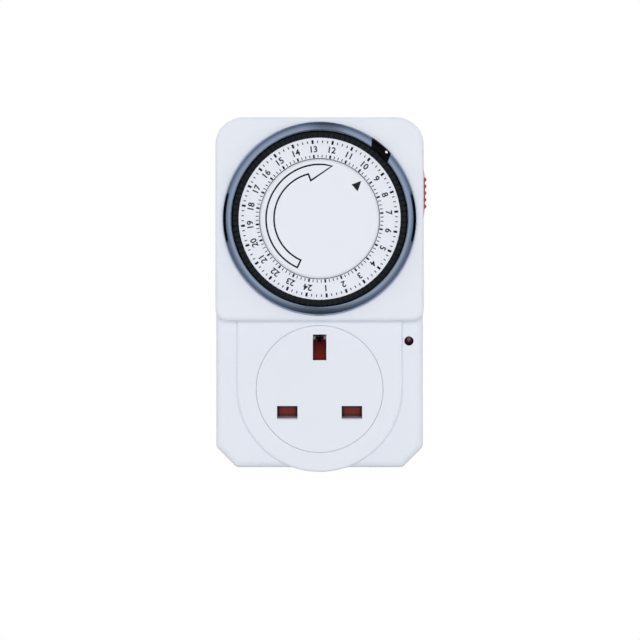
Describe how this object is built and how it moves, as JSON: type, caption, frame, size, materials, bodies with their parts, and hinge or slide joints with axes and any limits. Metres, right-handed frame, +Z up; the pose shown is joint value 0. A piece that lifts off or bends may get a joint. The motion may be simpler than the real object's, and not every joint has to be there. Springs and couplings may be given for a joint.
{
  "type": "plug in timer switch",
  "caption": "Plug-in 24 hour segment timer: white case with pins behind, shuttered socket in front, round dial with push tappets and a red override slide.",
  "frame": {"origin": "on the plug base's flat face, midway between the line and neutral pins", "axes": "+Z up towards the dial, -Y out of the front face, +Y along the plug pins, +X to the right as seen from the front"},
  "size_m": [0.0724, 0.0677, 0.1217],
  "materials": {
    "white_plastic": "satin moulded",
    "black_gloss": "gloss moulded",
    "black_plastic": "moulded",
    "lens_red": "clear dark red",
    "red_plastic": "moulded",
    "shutter_plastic": "moulded",
    "grey_plastic": "moulded",
    "natural_nylon": "moulded",
    "zinc_steel": "zinc plated",
    "coil_winding": "taped winding",
    "rotor_ferrite": "sintered",
    "brass": "polished",
    "spring_steel": "drawn wire",
    "neon_glass": "clear",
    "resistor_body": "lacquered",
    "lead_insulation": "insulated"
  },
  "bodies": {
    "housing": {"front_cover": "white_plastic", "rear_cover": "white_plastic", "socket_face": "white_plastic", "centre_cap": "white_plastic", "bezel_ring": "black_gloss", "lamp_lens": "lens_red", "movement_plate": "grey_plastic", "movement_back_plate": "grey_plastic", "motor_can": "zinc_steel", "motor_coil": "coil_winding", "lever_pin": "zinc_steel", "contact_tag": "brass", "live_supply_strip": "brass", "live_pin": "brass", "neutral_pin": "brass", "earth_pin": "brass", "pin_sleeves": "black_plastic", "live_clip": "brass", "neutral_clip": "brass", "earth_clip": "brass", "contact_carrier": "grey_plastic", "neon_lamp": "neon_glass", "lamp_resistor": "resistor_body", "internal_leads": "lead_insulation", "housing_screws": "zinc_steel"},
    "dial": {"dial_drum": "black_plastic", "number_ring": "white_plastic"},
    "tappets_01": {"tappets_hour_01": "black_plastic"},
    "tappets_02": {"tappets_hour_02": "black_plastic"},
    "tappets_03": {"tappets_hour_03": "black_plastic"},
    "tappets_04": {"tappets_hour_04": "black_plastic"},
    "tappets_05": {"tappets_hour_05": "black_plastic"},
    "tappets_06": {"tappets_hour_06": "black_plastic"},
    "tappets_07": {"tappets_hour_07": "black_plastic"},
    "tappets_08": {"tappets_hour_08": "black_plastic"},
    "tappets_09": {"tappets_hour_09": "black_plastic"},
    "tappets_10": {"tappets_hour_10": "black_plastic"},
    "tappets_11": {"tappets_hour_11": "black_plastic"},
    "tappets_12": {"tappets_hour_12": "black_plastic"},
    "tappets_13": {"tappets_hour_13": "black_plastic"},
    "tappets_14": {"tappets_hour_14": "black_plastic"},
    "tappets_15": {"tappets_hour_15": "black_plastic"},
    "tappets_16": {"tappets_hour_16": "black_plastic"},
    "tappets_17": {"tappets_hour_17": "black_plastic"},
    "tappets_18": {"tappets_hour_18": "black_plastic"},
    "tappets_19": {"tappets_hour_19": "black_plastic"},
    "tappets_20": {"tappets_hour_20": "black_plastic"},
    "tappets_21": {"tappets_hour_21": "black_plastic"},
    "tappets_22": {"tappets_hour_22": "black_plastic"},
    "tappets_23": {"tappets_hour_23": "black_plastic"},
    "tappets_24": {"tappets_hour_24": "black_plastic"},
    "second_wheel": {"second_wheel": "natural_nylon"},
    "third_wheel": {"third_wheel": "natural_nylon"},
    "motor_pinion": {"motor_pinion": "natural_nylon"},
    "rotor": {"motor_rotor": "rotor_ferrite"},
    "override_slider": {"override_slider": "red_plastic"},
    "follower_lever": {"follower_lever": "natural_nylon"},
    "moving_contact": {"moving_contact": "brass"},
    "shutter": {"shutter": "shutter_plastic", "shutter_spring": "spring_steel"}
  },
  "joints": [
    {"name": "dial_spin", "type": "hinge", "parent": "housing", "child": "dial", "pos_m": [0, 0, 0.0663], "axis": [0, 1, 0], "continuous": true},
    {"name": "override_slide", "type": "slide", "parent": "housing", "child": "override_slider", "axis": [0, 0, 1], "range_m": [0, 0.004]},
    {"name": "shutter_slide", "type": "slide", "parent": "housing", "child": "shutter", "axis": [0, 0, -1], "range_m": [0, 0.0081], "stiffness_N_per_m": 40, "springref_m": -0.003, "deforming": ["shutter_spring"]},
    {"name": "lever_tilt", "type": "hinge", "parent": "housing", "child": "follower_lever", "pos_m": [0.0215, -0.0235, 0.05999], "axis": [-1, 0, 0], "range_deg": [0, 4]},
    {"name": "contact_bend", "type": "hinge", "parent": "housing", "child": "moving_contact", "pos_m": [0.0225, -0.0254, 0.0375], "axis": [1, 0, 0], "range_deg": [0, 4.2]},
    {"name": "second_wheel_spin", "type": "hinge", "parent": "housing", "child": "second_wheel", "pos_m": [-0.01527, 0, 0.05102], "axis": [0, 1, 0], "continuous": true},
    {"name": "third_wheel_spin", "type": "hinge", "parent": "housing", "child": "third_wheel", "pos_m": [-0.01527, 0, 0.06302], "axis": [0, 1, 0], "continuous": true},
    {"name": "motor_pinion_spin", "type": "hinge", "parent": "housing", "child": "motor_pinion", "pos_m": [-0.00661, 0, 0.06802], "axis": [0, 1, 0], "continuous": true},
    {"name": "rotor_spin", "type": "hinge", "parent": "housing", "child": "rotor", "pos_m": [0.0015, 0, 0.074], "axis": [0, 1, 0], "continuous": true},
    {"name": "tappets_01_push", "type": "slide", "parent": "dial", "child": "tappets_01", "axis": [0, 1, 0], "range_m": [0, 0.0025]},
    {"name": "tappets_02_push", "type": "slide", "parent": "dial", "child": "tappets_02", "axis": [0, 1, 0], "range_m": [0, 0.0025]},
    {"name": "tappets_03_push", "type": "slide", "parent": "dial", "child": "tappets_03", "axis": [0, 1, 0], "range_m": [0, 0.0025]},
    {"name": "tappets_04_push", "type": "slide", "parent": "dial", "child": "tappets_04", "axis": [0, 1, 0], "range_m": [0, 0.0025]},
    {"name": "tappets_05_push", "type": "slide", "parent": "dial", "child": "tappets_05", "axis": [0, 1, 0], "range_m": [0, 0.0025]},
    {"name": "tappets_06_push", "type": "slide", "parent": "dial", "child": "tappets_06", "axis": [0, 1, 0], "range_m": [0, 0.0025]},
    {"name": "tappets_07_push", "type": "slide", "parent": "dial", "child": "tappets_07", "axis": [0, 1, 0], "range_m": [0, 0.0025]},
    {"name": "tappets_08_push", "type": "slide", "parent": "dial", "child": "tappets_08", "axis": [0, 1, 0], "range_m": [0, 0.0025]},
    {"name": "tappets_09_push", "type": "slide", "parent": "dial", "child": "tappets_09", "axis": [0, 1, 0], "range_m": [0, 0.0025]},
    {"name": "tappets_10_push", "type": "slide", "parent": "dial", "child": "tappets_10", "axis": [0, 1, 0], "range_m": [0, 0.0025]},
    {"name": "tappets_11_push", "type": "slide", "parent": "dial", "child": "tappets_11", "axis": [0, 1, 0], "range_m": [0, 0.0025]},
    {"name": "tappets_12_push", "type": "slide", "parent": "dial", "child": "tappets_12", "axis": [0, 1, 0], "range_m": [0, 0.0025]},
    {"name": "tappets_13_push", "type": "slide", "parent": "dial", "child": "tappets_13", "axis": [0, 1, 0], "range_m": [0, 0.0025]},
    {"name": "tappets_14_push", "type": "slide", "parent": "dial", "child": "tappets_14", "axis": [0, 1, 0], "range_m": [0, 0.0025]},
    {"name": "tappets_15_push", "type": "slide", "parent": "dial", "child": "tappets_15", "axis": [0, 1, 0], "range_m": [0, 0.0025]},
    {"name": "tappets_16_push", "type": "slide", "parent": "dial", "child": "tappets_16", "axis": [0, 1, 0], "range_m": [0, 0.0025]},
    {"name": "tappets_17_push", "type": "slide", "parent": "dial", "child": "tappets_17", "axis": [0, 1, 0], "range_m": [0, 0.0025]},
    {"name": "tappets_18_push", "type": "slide", "parent": "dial", "child": "tappets_18", "axis": [0, 1, 0], "range_m": [0, 0.0025]},
    {"name": "tappets_19_push", "type": "slide", "parent": "dial", "child": "tappets_19", "axis": [0, 1, 0], "range_m": [0, 0.0025]},
    {"name": "tappets_20_push", "type": "slide", "parent": "dial", "child": "tappets_20", "axis": [0, 1, 0], "range_m": [0, 0.0025]},
    {"name": "tappets_21_push", "type": "slide", "parent": "dial", "child": "tappets_21", "axis": [0, 1, 0], "range_m": [0, 0.0025]},
    {"name": "tappets_22_push", "type": "slide", "parent": "dial", "child": "tappets_22", "axis": [0, 1, 0], "range_m": [0, 0.0025]},
    {"name": "tappets_23_push", "type": "slide", "parent": "dial", "child": "tappets_23", "axis": [0, 1, 0], "range_m": [0, 0.0025]},
    {"name": "tappets_24_push", "type": "slide", "parent": "dial", "child": "tappets_24", "axis": [0, 1, 0], "range_m": [0, 0.0025]}
  ],
  "couplings": [
    {"joint": "lever_tilt", "follows": "override_slide", "rad_per_m": 17.4},
    {"joint": "contact_bend", "follows": "override_slide", "rad_per_m": 18.3},
    {"joint": "second_wheel_spin", "follows": "dial_spin", "ratio": -5},
    {"joint": "third_wheel_spin", "follows": "dial_spin", "ratio": 15},
    {"joint": "motor_pinion_spin", "follows": "dial_spin", "ratio": -45}
  ]
}
